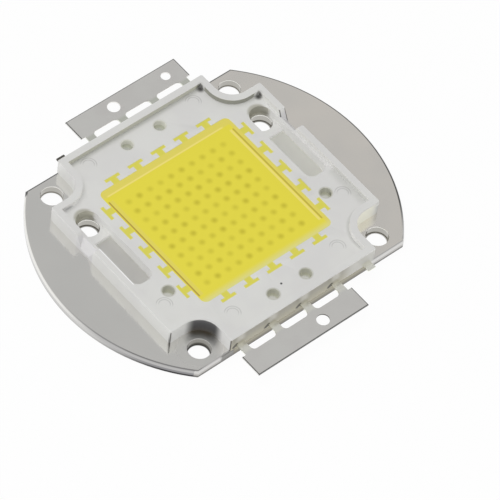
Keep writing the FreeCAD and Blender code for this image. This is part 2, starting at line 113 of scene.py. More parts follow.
def rangeNode(tree, value, low, high, newLow, newHigh):
    node = addNode(tree, "ShaderNodeMapRange", clamp=True, interpolation_type="SMOOTHSTEP")
    ends = (("From Min", low), ("From Max", high), ("To Min", newLow), ("To Max", newHigh))
    feed(tree, node.inputs["Value"], value)
    for name, end in ends:
        feed(tree, node.inputs[name], end)
    return node.outputs["Result"]


def rising(tree, value, low, high, top=1.0):
    # 0 up to low, then softly up to top at high
    return rangeNode(tree, value, low, high, 0.0, top)


def falling(tree, value, low, high, top=1.0):
    # top up to low, then softly down to 0 at high
    return rangeNode(tree, value, low, high, top, 0.0)


def bandMask(tree, value, low, high, soft):
    # 1 between low and high, with soft ends outside them
    rise = rising(tree, value, low - soft, low)
    return mathNode(tree, "MULTIPLY", rise, falling(tree, value, high, high + soft))


def mixColour(tree, factor, first, second):
    node = addNode(tree, "ShaderNodeMix", data_type="RGBA", blend_type="MIX")
    for index, value in ((0, factor), (6, first), (7, second)):
        feed(tree, node.inputs[index], value)
    return node.outputs[2]


def mixValue(tree, factor, first, second):
    node = addNode(tree, "ShaderNodeMix", data_type="FLOAT")
    for index, value in ((0, factor), (2, first), (3, second)):
        feed(tree, node.inputs[index], value)
    return node.outputs[0]


def product(tree, *values):
    result = values[0]
    for value in values[1:]:
        result = mathNode(tree, "MULTIPLY", result, value)
    return result


def paintOver(tree, base, colour, *masks):
    # a coat of colour where all masks are 1; a plain number among them thins the coat
    return mixColour(tree, product(tree, *masks), base, colour)


def leaning(tree, x, y, shareX, shareY):
    # how far a point lies along a slanting direction in plan
    partX = mathNode(tree, "MULTIPLY", x, shareX)
    return mathNode(tree, "ADD", partX, mathNode(tree, "MULTIPLY", y, shareY))


def distanceFrom(tree, x, y, centreX, centreY):
    sideX = mathNode(tree, "SUBTRACT", x, centreX)
    sideY = mathNode(tree, "SUBTRACT", y, centreY)
    squares = mathNode(tree, "ADD", product(tree, sideX, sideX), product(tree, sideY, sideY))
    return mathNode(tree, "SQRT", squares)


def insideCorner(tree, x, y, cornerX, cornerY):
    # how far a point lies past a corner in both X and Y
    pastX = mathNode(tree, "SUBTRACT", x, cornerX)
    return mathNode(tree, "MINIMUM", pastX, mathNode(tree, "SUBTRACT", y, cornerY))


def lineMask(tree, place, start, end, width, soft=0.08):
    # 1 near the straight line from start to end, in millimetres
    run = Vector(end) - Vector(start)
    fromStart = addNode(tree, "ShaderNodeVectorMath", operation="SUBTRACT")
    tree.links.new(place, fromStart.inputs[0])
    fromStart.inputs[1].default_value = start
    along = addNode(tree, "ShaderNodeVectorMath", operation="DOT_PRODUCT")
    tree.links.new(fromStart.outputs[0], along.inputs[0])
    along.inputs[1].default_value = run / run.length_squared
    share = mathNode(tree, "ADD", along.outputs["Value"], 0.0, clamp=True)
    reached = addNode(tree, "ShaderNodeVectorMath", operation="SCALE")
    reached.inputs[0].default_value = run
    tree.links.new(share, reached.inputs["Scale"])
    gap = addNode(tree, "ShaderNodeVectorMath", operation="DISTANCE")
    tree.links.new(fromStart.outputs[0], gap.inputs[0])
    tree.links.new(reached.outputs[0], gap.inputs[1])
    return falling(tree, gap.outputs["Value"], width, width + soft)


def objectPlace(tree):
    # object coordinates in millimetres, as a vector and three sockets
    coordinates = addNode(tree, "ShaderNodeTexCoord")
    scale = addNode(tree, "ShaderNodeVectorMath", operation="SCALE")
    scale.inputs["Scale"].default_value = 1.0 / mm
    tree.links.new(coordinates.outputs["Object"], scale.inputs[0])
    parts = addNode(tree, "ShaderNodeSeparateXYZ")
    tree.links.new(scale.outputs[0], parts.inputs[0])
    return scale.outputs[0], parts.outputs["X"], parts.outputs["Y"], parts.outputs["Z"]


# surface grain with slow patches, shared by metal, plastic and casting
grainSettings = {
    "grainSize": 0.3,
    "grainDetail": 3.0,
    "patchSize": 8.0,
    "patchDetail": 2.0,
    "roughness": 0.55,
    "span": (0.3, 0.7),
}


def groupSocket(group, name, direction, kind="NodeSocketFloat", value=None):
    socket = group.interface.new_socket(name=name, in_out=direction, socket_type=kind)
    if value is not None:
        socket.default_value = value


def makeGrainGroup(settings):
    group = bpy.data.node_groups.new("surfaceGrain", "ShaderNodeTree")
    groupSocket(group, "Place", "INPUT", "NodeSocketVector")
    groupSocket(group, "Grain Size", "INPUT", value=settings["grainSize"])
    groupSocket(group, "Patch Size", "INPUT", value=settings["patchSize"])
    groupSocket(group, "Grain", "OUTPUT")
    groupSocket(group, "Patches", "OUTPUT")
    inside = addNode(group, "NodeGroupInput")
    outside = addNode(group, "NodeGroupOutput")
    noises = (
        ("Grain Size", "Grain", settings["grainDetail"]),
        ("Patch Size", "Patches", settings["patchDetail"]),
    )
    for sizeName, resultName, detail in noises:
        scale = mathNode(group, "DIVIDE", 1.0, inside.outputs[sizeName])
        noise = addNode(group, "ShaderNodeTexNoise", noise_dimensions="3D")
        noise.inputs["Detail"].default_value = detail
        noise.inputs["Roughness"].default_value = settings["roughness"]
        group.links.new(inside.outputs["Place"], noise.inputs["Vector"])
        group.links.new(scale, noise.inputs["Scale"])
        group.links.new(noise.outputs["Fac"], outside.inputs[resultName])
    return group


grainGroup = makeGrainGroup(grainSettings)
noiseSpan = grainSettings["span"]


def addGrain(tree, place, grainSize, patchSize):
    node = addNode(tree, "ShaderNodeGroup", node_tree=grainGroup)
    node.inputs["Grain Size"].default_value = grainSize
    node.inputs["Patch Size"].default_value = patchSize
    tree.links.new(place, node.inputs["Place"])
    return node.outputs["Grain"], node.outputs["Patches"]


def addBump(tree, shader, height, strength, distance):
    bump = addNode(tree, "ShaderNodeBump")
    bump.inputs["Strength"].default_value = strength
    bump.inputs["Distance"].default_value = distance * mm
    tree.links.new(height, bump.inputs["Height"])
    tree.links.new(bump.outputs["Normal"], shader.inputs["Normal"])


# plate metal: plated sheet that mirrors softly, a little warmer towards +X, dull inside the
# side slots; every place and distance is in millimetres, and a pair is a soft step's two ends
plateFinish = {
    "grain": (0.35, 11.0),
    "bump": (0.04, 0.01),
    "polish": (0.1, 0.15),
    "colour": fromPaint(239, 238, 234),
    "warmColour": fromPaint(251, 246, 238),
    "warmX": (4.0, 20.0),
    "mottle": fromPaint(232, 231, 228),
    "mottleCoat": 0.5,
    "slot": {
        "x": (14.4, 18.7, 0.1), "y": (-4.5, 6.4, 0.1),
        "colour": fromPaint(250, 250, 244), "rough": 0.5,
    },
    # painted reflection and shade on the plate's edge, in an upper, middle and lower band:
    # at the left, by the near corner, on the flat side, and where the first gives way to the second
    "edgeShade": (
        ((236, 235, 231), (186, 185, 184), (214, 213, 211), (-23.5, -15.5)),
        ((204, 203, 201), (146, 145, 147), (188, 186, 183), (-19.5, -8.0)),
        ((192, 191, 189), (60, 59, 61), (112, 110, 107), (-19.5, -6.5)),
    ),
    "edgeShadeSteps": ((0.3, 0.5), (0.75, 0.95), (1.44, 1.49)),
    "edgeReach": (27.5, 27.6),
    "edgeFlat": (19.5, 19.6),
    "roundEdge": (0.763, -0.64),
    "lip": {"run": (-12.0, -2.5, 2.0), "z": (1.38, 1.41), "colour": fromPaint(160, 158, 158)},
    "underLeads": {
        "x": (-12.9, 12.5, 0.4), "z": (0.2, 0.35), "step": (0.4, 1.3),
        "colours": (fromPaint(128, 124, 110), fromPaint(164, 160, 144)),
    },
    "besideLeads": {
        "x": (-15.0, -13.2, 0.6), "z": (1.36, 1.42), "coat": 0.8,
        "colour": fromPaint(116, 115, 112),
    },
    # painted shade and highlight on the holes' walls: each colour, and the dark part's height,
    # for the other holes and for the nearest one
    "bore": {
        "low": (fromPaint(128, 124, 114), fromPaint(84, 82, 76)),
        "middle": (fromPaint(178, 176, 170), fromPaint(146, 144, 138)),
        "lip": (fromPaint(236, 235, 230), fromPaint(160, 158, 152)),
        "dark": (0.05, 0.4), "soft": 0.35, "lipZ": (1.22, 1.32), "z": (1.42, 1.48),
        "nearest": -10.0,
    },
    # painted shade beside the near notch's wall, and duller there
    "notchShadeAndDull": {
        "centre": -16.95, "rise": (1.9, 3.0), "fall": (3.4, 3.6), "past": (0.0, 1.3), "coat": 0.9,
        "colour": fromPaint(170, 158, 138), "dull": (3.0, 4.2), "dullShare": 0.4,
    },
    "farEdge": {
        "lean": (0.72, 0.69), "away": (1.0, 8.0), "reach": (27.58, 27.7), "flat": (19.6, 19.72),
        "flatY": (19.0, 19.5), "z": (1.2, 1.3), "colour": fromPaint(84, 84, 82),
    },
}


def makePlateMetal(settings):
    material, tree, shader = newMaterial("plateMetal")
    place, x, y, z = objectPlace(tree)
    grain, patches = addGrain(tree, place, *settings["grain"])
    warm = rising(tree, x, *settings["warmX"])
    base = mixColour(tree, warm, settings["colour"], settings["warmColour"])
    mottled = rising(tree, patches, *noiseSpan, settings["mottleCoat"])
    base = paintOver(tree, base, settings["mottle"], mottled)
    slot = settings["slot"]
    inSlot = bandMask(tree, mathNode(tree, "ABSOLUTE", x), *slot["x"])
    inSlot = product(tree, inSlot, bandMask(tree, y, *slot["y"]))
    onRight = mathNode(tree, "GREATER_THAN", x, 0.0)
    base = paintOver(tree, base, slot["colour"], inSlot, onRight)

    # the plate's edge: a painted reflection bright above, a painted shadow dark along the bottom,
    # darker round to the near corner, and a painted dark line along the roll's lip
    reach = distanceFrom(tree, x, y, 0.0, 0.0)
    sideY = mathNode(tree, "ABSOLUTE", y)
    flatStart, flatEnd = settings["edgeFlat"]
    outer = mathNode(
        tree, "MAXIMUM",
        rising(tree, reach, *settings["edgeReach"]), rising(tree, sideY, flatStart, flatEnd),
    )
    aroundEdge = leaning(tree, x, y, *settings["roundEdge"])
    onFlat = falling(tree, y, -flatEnd, -flatStart)
    bands = []
    for left, near, flat, run in settings["edgeShade"]:
        passing = rising(tree, aroundEdge, *run)
        band = mixColour(tree, passing, fromPaint(*left), fromPaint(*near))
        bands.append(mixColour(tree, onFlat, band, fromPaint(*flat)))
    lowStep, middleStep, topStep = settings["edgeShadeSteps"]
    edgeShade = mixColour(tree, rising(tree, z, *middleStep), bands[1], bands[0])
    edgeShade = mixColour(tree, rising(tree, z, *lowStep), bands[2], edgeShade)
    lip = settings["lip"]
    onLip = bandMask(tree, aroundEdge, *lip["run"])
    edgeShade = paintOver(tree, edgeShade, lip["colour"], onLip, rising(tree, z, *lip["z"]))
    base = paintOver(tree, base, edgeShade, outer, falling(tree, z, *topStep))

    # painted shadow on the flat side under and beside the near lead
    under = settings["underLeads"]
    underShade = mixColour(tree, rising(tree, z, *under["step"]), *under["colours"])
    underRun = bandMask(tree, x, *under["x"])
    base = paintOver(tree, base, underShade, onFlat, underRun, rising(tree, z, *under["z"]))
    beside = settings["besideLeads"]
    besideRun = bandMask(tree, x, *beside["x"])
    besideHeight = falling(tree, z, *beside["z"], beside["coat"])
    base = paintOver(tree, base, beside["colour"], onFlat, besideRun, besideHeight)

    # painted shade on the holes' walls, lighter towards the top, with a painted highlight at the
    # lip
    bore = settings["bore"]
    nearest = product(
        tree,
        mathNode(tree, "LESS_THAN", x, bore["nearest"]),
        mathNode(tree, "LESS_THAN", y, bore["nearest"]),
    )
    low, middle, top = (mixColour(tree, nearest, *bore[key]) for key in ("low", "middle", "lip"))
    overDark = mathNode(tree, "SUBTRACT", z, mixValue(tree, nearest, *bore["dark"]))
    boreShade = mixColour(tree, rising(tree, overDark, 0.0, bore["soft"]), low, middle)
    boreShade = mixColour(tree, rising(tree, z, *bore["lipZ"]), boreShade, top)
    inner = mathNode(tree, "SUBTRACT", 1.0, outer)
    base = paintOver(tree, base, boreShade, inner, falling(tree, z, *bore["z"]))

    # painted shade beside the near notch's wall, where the plate is also duller
    notchShadeAndDull = settings["notchShadeAndDull"]
    fromNotch = distanceFrom(tree, x, y, notchShadeAndDull["centre"], notchShadeAndDull["centre"])
    pastNotch = insideCorner(tree, x, y, notchShadeAndDull["centre"], notchShadeAndDull["centre"])
    inNotchShade = product(
        tree,
        rising(tree, fromNotch, *notchShadeAndDull["rise"]),
        falling(tree, fromNotch, *notchShadeAndDull["fall"]),
        rising(tree, pastNotch, *notchShadeAndDull["past"]),
    )
    base = paintOver(tree, base, notchShadeAndDull["colour"], inNotchShade, notchShadeAndDull["coat"])

    # painted shade: the upper edge away from the viewer is dark
    far = settings["farEdge"]
    away = leaning(tree, x, y, *far["lean"])
    rim = mathNode(
        tree, "MAXIMUM", rising(tree, reach, *far["reach"]), rising(tree, sideY, *far["flat"]),
    )
    farRun = mathNode(
        tree, "MAXIMUM", rising(tree, away, *far["away"]), rising(tree, y, *far["flatY"]),
    )
    base = paintOver(tree, base, far["colour"], rim, farRun, rising(tree, z, *far["z"]))
    tree.links.new(base, shader.inputs["Base Color"])

    polished = rangeNode(tree, patches, *noiseSpan, *settings["polish"])
    dull = falling(tree, fromNotch, *notchShadeAndDull["dull"], notchShadeAndDull["dullShare"])
    dull = mathNode(tree, "MAXIMUM", inSlot, dull)
    rough = mathNode(tree, "ADD", polished, mathNode(tree, "MULTIPLY", dull, slot["rough"]))
    tree.links.new(rough, shader.inputs["Roughness"])
    shader.inputs["Metallic"].default_value = 1.0
    addBump(tree, shader, grain, *settings["bump"])
    return material


# frame plastic: off-white moulding, half gloss, with painted shade where the light doesn't reach
# and a few painted highlights; places and distances are in millimetres, and a third number in a
# row is the softness of its ends
plasticFinish = {
    "grain": (0.5, 6.0),
    "grainHeight": 0.15,
    "bump": (0.5, 0.05),
    "polish": (0.4, 0.5),
    "colour": fromPaint(217, 217, 214),
    "shade": fromPaint(211, 210, 209),
    "patchSpan": (0.35, 0.65),
    "shadeCoat": 0.6,
    "line": fromPaint(50, 48, 44),
    "lineCoat": 0.9,
    "floorShade": fromPaint(176, 177, 172),
    "floorZ": (3.34, 3.4),
    "notch": {
        "centre": -16.95, "pastShift": -0.8, "past": (-0.5, 1.4), "reach": (3.3, 3.9),
        "z": (3.9, 4.15), "lowStep": (1.5, 2.5), "highStep": (3.2, 4.0), "coat": 0.95,
        "low": fromPaint(62, 59, 54), "dark": fromPaint(46, 46, 49), "high": fromPaint(72, 72, 74),
    },
    "well": {
        "x": (15.0, 18.5, 0.3), "from": (9.0, 10.0), "to": (11.15, 11.25), "z": (3.2, 3.28),
        "step": (1.8, 3.2), "coat": 0.92,
        "colours": (fromPaint(130, 128, 114), fromPaint(182, 180, 165)),
    },
    "brink": {
        "centre": (16.55, 10.0), "reach": (1.35, 1.9), "y": (10.2, 10.9), "coat": 0.8,
        "colour": fromPaint(162, 160, 145),
    },
    "nearWall": {
        "y": (-19.95, -19.85), "z": (4.0, 4.15), "step": (1.6, 3.8), "endX": (6.5, 10.0),
        "colours": (fromPaint(172, 168, 150), fromPaint(156, 153, 142)),
        "end": fromPaint(194, 193, 187),
    },
    "legReflection": {
        "first": 26.95, "pitch": 6.0, "reach": (0.2, 1.3), "z": (2.2, 3.2), "x": (-13.0, 7.2, 0.2),
        "coat": 0.75, "colour": fromPaint(204, 202, 194),
    },
    "rimZ": (3.34, 4.2, 0.05),
    "farArc": {
        "centre": (16.95, 16.95), "reach": (4.2, 4.36, 0.12), "coat": 0.95,
        "colour": fromPaint(132, 132, 122),
    },
    "farWall": {
        "y": (18.75, 18.95, 0.08), "x": (-12.8, 12.0, 0.6), "coat": 0.9,
        "colour": fromPaint(178, 178, 164),
    },
    "besideFar": {"y": (17.9, 18.9), "x": (-12.0, 12.0, 0.8), "coat": 0.6},
    "besideRight": {
        "x": (17.2, 18.6), "y": (-11.8, -5.0, 1.0), "z": (4.1, 4.25), "endX": (18.84, 18.95),
        "coat": 0.45,
    },
    "rightNotch": {
        "centre": (16.95, -16.95), "reach": (3.25, 4.2), "z": (4.0, 4.2), "coat": 0.9,
        "colour": fromPaint(242, 241, 226), "arc": (4.2, 4.5, 0.4), "arcCoat": 0.5,
    },
    "opening": {
        "x": (18.6, 18.9), "y": (4.2, 7.6, 0.3), "z": (3.4, 4.2),
        "colour": fromPaint(204, 203, 203),
    },
    "pins": ((3.1, 16.8), (-3.1, 16.8), (3.1, -16.8), (-3.1, -16.8), (15.0, -7.35), (-15.0, -7.35)),
    "pinReach": (0.9, 1.25),
    "pinZ": (3.2, 3.4, 1.0, 0.7),
    "pinShade": (fromPaint(176, 176, 163), fromPaint(204, 204, 194)),
    "ejectors": (
        (10.0, 17.3), (-10.0, 17.3), (10.0, -15.9), (-10.0, -15.9), (17.0, -8.9), (-17.0, -8.9),
    ),
    "ejectorRings": (1.2, 0.85),
    "ring": {"half": 0.04, "soft": 0.07, "coat": 0.22, "depth": 0.5, "farSide": (-0.6, 0.6)},
    "darkLines": (
        ((-19.85, -13.8, 1.5), (-19.85, -13.8, 3.9), 0.1),
        ((-13.8, -19.95, 1.5), (-13.8, -19.95, 3.9), 0.1),
        ((18.8, 7.9, 4.3), (18.8, 7.44, 3.3), 0.07),
        ((19.85, 7.9, 4.1), (19.85, 6.9, 2.3), 0.08),
        ((-13.05, -20.0, 2.0), (-12.65, -20.0, 2.25), 0.3),
        ((-7.05, -20.0, 2.0), (-6.65, -20.0, 2.25), 0.3),
        ((-1.05, -20.0, 2.0), (-0.65, -20.0, 2.25), 0.3),
        ((4.95, -20.0, 2.0), (5.35, -20.0, 2.25), 0.3),
    ),
    "softShadows": (
        ((12.4, 18.5, 3.3), (12.4, 18.7, 3.7), 0.1, 0.75),
        ((18.5, 12.3, 3.3), (18.7, 12.3, 3.7), 0.1, 0.75),
    ),
    "brightLine": ((-18.8, -3.9, 4.25), (-18.8, 3.9, 4.25), 0.1),
    "bright": fromPaint(255, 255, 255),
    "speck": {"place": (-0.98, -16.06), "reach": (0.13, 0.22), "coat": 0.95},
}


def makeFramePlastic(settings):
    material, tree, shader = newMaterial("framePlastic")
    place, x, y, z = objectPlace(tree)
    side = mathNode(tree, "ABSOLUTE", x)
    onFloor = falling(tree, z, *settings["floorZ"])
    grain, patches = addGrain(tree, place, *settings["grain"])
    shaded = rising(tree, patches, *settings["patchSpan"], settings["shadeCoat"])
    base = mixColour(tree, shaded, settings["colour"], settings["shade"])

    # painted shade on the near notch's hollow wall, dark under its lip and brownish by the plate
    notch = settings["notch"]
    centre = notch["centre"]
    fromNotch = distanceFrom(tree, x, y, centre, centre)
    pastNotch = insideCorner(tree, x, y, centre, centre + notch["pastShift"])
    hollow = product(
        tree,
        falling(tree, fromNotch, *notch["reach"]),
        rising(tree, pastNotch, *notch["past"]),
        falling(tree, z, *notch["z"]),
    )
    hollowShade = mixColour(tree, rising(tree, z, *notch["lowStep"]), notch["low"], notch["dark"])
    hollowShade = paintOver(tree, hollowShade, notch["high"], rising(tree, z, *notch["highStep"]))
    base = paintOver(tree, base, hollowShade, hollow, notch["coat"])

    # painted shade on the far ends of the recesses round the inner holes and on the floor
    # beyond them
    well = settings["well"]
    inWell = product(
        tree,
        bandMask(tree, side, *well["x"]),
        rising(tree, y, *well["from"]),
        falling(tree, y, *well["to"]),
        falling(tree, z, *well["z"]),
    )
    wellShade = mixColour(tree, rising(tree, z, *well["step"]), *well["colours"])
    base = paintOver(tree, base, wellShade, inWell, well["coat"])
    brink = settings["brink"]
    fromWell = distanceFrom(tree, side, y, *brink["centre"])
    onBrink = falling(tree, fromWell, *brink["reach"], brink["coat"])
    beyond = rising(tree, y, *brink["y"])
    base = paintOver(tree, base, brink["colour"], onBrink, beyond, onFloor)

    # painted shade on the outer wall on the -Y side, and a painted reflection of each leg lighter
    # above it
    near = settings["nearWall"]
    nearWall = product(tree, falling(tree, y, *near["y"]), falling(tree, z, *near["z"]))
    wallShade = mixColour(tree, rising(tree, z, *near["step"]), *near["colours"])
    wallShade = paintOver(tree, wallShade, near["end"], rising(tree, x, *near["endX"]))
    base = paintOver(tree, base, wallShade, nearWall)
    glow = settings["legReflection"]
    fromFirst = mathNode(tree, "ADD", x, glow["first"])
    fromLeg = mathNode(tree, "MODULO", fromFirst, glow["pitch"])
    fromLeg = mathNode(tree, "ABSOLUTE", mathNode(tree, "SUBTRACT", fromLeg, glow["pitch"] / 2))
    base = paintOver(
        tree, base, glow["colour"], nearWall,
        falling(tree, fromLeg, *glow["reach"], glow["coat"]),
        rising(tree, z, *glow["z"]),
        bandMask(tree, x, *glow["x"]),
    )

    # painted shade on the rim's inner walls that face the viewer, and on the floor beside them
    onRim = bandMask(tree, z, *settings["rimZ"])
    arc = settings["farArc"]
    onArc = bandMask(tree, distanceFrom(tree, x, y, *arc["centre"]), *arc["reach"])
    base = paintOver(tree, base, arc["colour"], onArc, onRim, arc["coat"])
    wall = settings["farWall"]
    onWall = bandMask(tree, y, *wall["y"])
    wallRun = bandMask(tree, x, *wall["x"])
    base = paintOver(tree, base, wall["colour"], onWall, onRim, wallRun, wall["coat"])
    far = settings["besideFar"]
    besideFar = rising(tree, y, *far["y"], far["coat"])
    farRun = bandMask(tree, x, *far["x"])
    base = paintOver(tree, base, settings["floorShade"], besideFar, onFloor, farRun)
    right = settings["besideRight"]
    base = paintOver(
        tree, base, settings["floorShade"],
        rising(tree, x, *right["x"], right["coat"]),
        falling(tree, z, *right["z"]),
        bandMask(tree, y, *right["y"]),
        falling(tree, x, *right["endX"]),
    )

    # painted light on the right-hand notch's wall, bright and cream, and painted shade on the
    # floor beside it
    notch = settings["rightNotch"]
    fromRight = distanceFrom(tree, x, y, *notch["centre"])
    creamy = falling(tree, fromRight, *notch["reach"], notch["coat"])
    base = paintOver(tree, base, notch["colour"], creamy, falling(tree, z, *notch["z"]))
    besideArc = bandMask(tree, fromRight, *notch["arc"])
    base = paintOver(tree, base, settings["floorShade"], besideArc, onFloor, notch["arcCoat"])

    # painted shade on the wire openings' sloping floors
    opening = settings["opening"]
    base = paintOver(
        tree, base, opening["colour"],
        rising(tree, side, *opening["x"]),
        bandMask(tree, y, *opening["y"]),
        falling(tree, z, *opening["z"]),
    )

    # painted shade in the pin holes, lighter in the far ones, and the faint rings that the ejectors
    # left
    height = mathNode(tree, "MULTIPLY", grain, settings["grainHeight"])
    for pinX, pinY in settings["pins"]:
        fromPin = distanceFrom(tree, x, y, pinX, pinY)
        inPin = falling(tree, fromPin, *settings["pinReach"])
        pinHeight = rangeNode(tree, z, *settings["pinZ"])
        base = paintOver(tree, base, settings["pinShade"][pinY > 0.0], inPin, pinHeight)
    line = settings["line"]
    mark = settings["ring"]
    for markX, markY in settings["ejectors"]:
        fromMark = distanceFrom(tree, x, y, markX, markY)
        farSide = mathNode(
            tree, "ADD",
            mathNode(tree, "SUBTRACT", x, markX), mathNode(tree, "SUBTRACT", y, markY),
        )
        farHalf = rising(tree, farSide, *mark["farSide"])
        for radius in settings["ejectorRings"]:
            start, end = radius - mark["half"], radius + mark["half"]
            ring = product(tree, bandMask(tree, fromMark, start, end, mark["soft"]), farHalf)
            base = paintOver(tree, base, line, ring, mark["coat"])
            height = mathNode(tree, "SUBTRACT", height, product(tree, ring, mark["depth"]))

    # painted dark lines along edges, painted shadows where the legs meet the wall and soft ones
    # in two corners, a painted highlight along one edge, and a speck
    for run in settings["darkLines"] + settings["softShadows"]:
        base = paintOver(tree, base, line, lineMask(tree, place, *run), settings["lineCoat"])
    brightEdge = lineMask(tree, place, *settings["brightLine"])
    base = paintOver(tree, base, settings["bright"], brightEdge)
    speck = settings["speck"]
    fromSpeck = distanceFrom(tree, x, y, *speck["place"])
    onSpeck = falling(tree, fromSpeck, *speck["reach"], speck["coat"])
    base = paintOver(tree, base, settings["notch"]["dark"], onSpeck)
    tree.links.new(base, shader.inputs["Base Color"])
    rough = rangeNode(tree, grain, *noiseSpan, *settings["polish"])
    tree.links.new(rough, shader.inputs["Roughness"])
    addBump(tree, shader, height, *settings["bump"])
    return material


# plated lead sheet, with painted shade along its stamped edges and a painted highlight on the
# legs of the -Y side
leadFinish = {
    "grain": (0.25, 5.0),
    "bump": (0.03, 0.01),
    "polish": (0.2, 0.25),
    "colour": fromPaint(245, 244, 240),
    "mottle": fromPaint(238, 235, 232),
    "mottleCoat": 0.6,
    "legs": (fromPaint(228, 230, 220), fromPaint(255, 255, 246)),
    "legY": (21.6, 22.2),
    "tab": {
        "y": (21.9, 22.2), "left": (-13.3, -13.22), "right": (7.22, 7.3), "outer": (25.84, 25.92),
        "upper": (2.27, 2.31), "lower": (2.12, 2.16), "coat": 0.9, "edge": fromPaint(96, 96, 94),
    },
    "stub": {"x": 10.0, "y": 19.0, "colour": fromPaint(112, 110, 104)},
    "hole": {
        "centre": (0.3, -24.1), "reach": (1.03, 1.05), "z": (2.3, 2.34),
        "wall": fromPaint(104, 102, 98),
    },
}


def makeLeadMetal(settings):
    material, tree, shader = newMaterial("leadMetal")
    place, x, y, z = objectPlace(tree)
    outward = mathNode(tree, "ABSOLUTE", y)
    grain, patches = addGrain(tree, place, *settings["grain"])
    mottled = rising(tree, patches, *noiseSpan, settings["mottleCoat"])
    base = mixColour(tree, mottled, settings["colour"], settings["mottle"])
    legShade = mixColour(tree, mathNode(tree, "LESS_THAN", y, 0.0), *settings["legs"])
    base = paintOver(tree, base, legShade, falling(tree, outward, *settings["legY"]))

    # the two leads are turned copies: both read as the one on the -Y side
    turnedBack = mathNode(tree, "MULTIPLY", mathNode(tree, "SIGN", y), -1.0)
    turned = mathNode(tree, "MULTIPLY", x, turnedBack)
    stub = settings["stub"]
    base = paintOver(
        tree, base, stub["colour"],
        mathNode(tree, "GREATER_THAN", turned, stub["x"]),
        mathNode(tree, "GREATER_THAN", y, stub["y"]),
    )

    # painted shade along the tab's stamped edges and on the wall of the near tab's hole
    tab = settings["tab"]
    tabEnds = mathNode(
        tree, "MAXIMUM",
        falling(tree, turned, *tab["left"]), rising(tree, turned, *tab["right"]),
    )
    sheetEdges = mathNode(
        tree, "MAXIMUM", rising(tree, z, *tab["upper"]), falling(tree, z, *tab["lower"]),
    )
    tabEnds = product(tree, tabEnds, rising(tree, outward, *tab["y"]), sheetEdges)
    edges = mathNode(tree, "MAXIMUM", tabEnds, rising(tree, outward, *tab["outer"]))
    base = paintOver(tree, base, tab["edge"], edges, tab["coat"])
    hole = settings["hole"]
    inHole = falling(tree, distanceFrom(tree, x, y, *hole["centre"]), *hole["reach"])
    base = paintOver(tree, base, hole["wall"], inHole, falling(tree, z, *hole["z"]))
    tree.links.new(base, shader.inputs["Base Color"])
    rough = rangeNode(tree, grain, *noiseSpan, *settings["polish"])
    tree.links.new(rough, shader.inputs["Roughness"])
    shader.inputs["Metallic"].default_value = 1.0
    addBump(tree, shader, grain, *settings["bump"])
    return material


# phosphor casting: yellow, with the chips as soft spots and paler towards its edges
gelFinish = {
    "grain": (0.8, 5.0),
    "bump": (0.1, 0.05),
    "polish": (0.36, 0.46),
    "deep": fromPaint(229, 217, 64),
    "pale": fromPaint(224, 211, 94),
    "light": fromPaint(240, 224, 124),
    "chips": {
        "pitch": 2.0, "shift": -0.5, "reach": 10.0, "radius": 0.8, "start": 20.0,
        "strength": (0.55, 1.0), "colour": fromPaint(200, 187, 42),
    },
    "farBand": (10.75, 11.15),
    "farLine": {"y": (10.98, 11.12, 0.12), "x": (-11.2, 10.2, 0.5), "coat": 0.9},
    "rightBand": (11.55, 11.85),
    "rightRun": (-10.4, 9.8, 0.3),
    "rightLight": {"x": (11.0, 11.25, 0.15), "coat": 0.85},
    "rightDark": {"x": (11.5, 11.62, 0.12), "colour": fromPaint(192, 172, 64)},
    "leftRun": (-10.6, 10.0, 0.3),
    "leftPale": {"x": (-11.8, -11.3, 0.2), "coat": 0.8},
    "leftDark": {"x": (-12.0, -11.88, 0.1), "colour": fromPaint(176, 146, 62)},
    "nearFade": {"y": (-12.4, -10.9), "coat": 0.8, "colour": fromPaint(219, 216, 150)},
    # the T slots' fillings: five to a side, with half the widths of a T's stem and head
    "slots": {
        "pitch": 4.35, "start": (12.1, 12.4), "end": 13.7, "headStart": 13.1, "stem": 0.6,
        "head": 1.35, "soft": (-0.05, 0.22),
        "edge": fromPaint(218, 214, 138), "core": fromPaint(217, 210, 84),
    },
}


